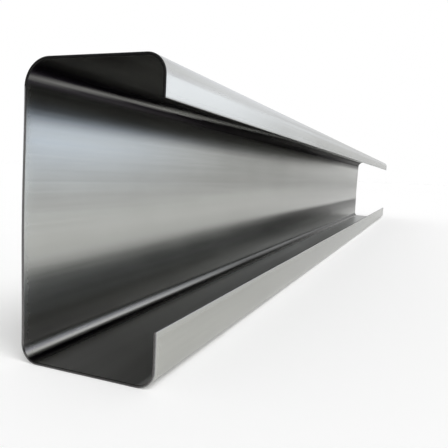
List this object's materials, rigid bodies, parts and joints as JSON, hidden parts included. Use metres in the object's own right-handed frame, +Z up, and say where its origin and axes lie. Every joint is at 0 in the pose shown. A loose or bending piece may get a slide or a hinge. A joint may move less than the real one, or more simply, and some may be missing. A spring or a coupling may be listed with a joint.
{
  "type": "galvanized c-purlin",
  "caption": "Straight cut length of cold-formed galvanized steel C-section, with a flat web, flanges and inward-turned lips on rounded bends, used as a roof or wall purlin.",
  "frame": {"origin": "middle of the box that the purlin fills, on the floor under its lower flange", "axes": "+X along the length, +Y from the web to the open side, +Z up from the lower flange to the upper one"},
  "size_m": [0.85, 0.051, 0.1],
  "materials": {
    "galvanized_steel": "smooth satin zinc coating with faint lengthwise rolling marks"
  },
  "bodies": {
    "root": {"c_purlin": "galvanized_steel"}
  },
  "joints": []
}
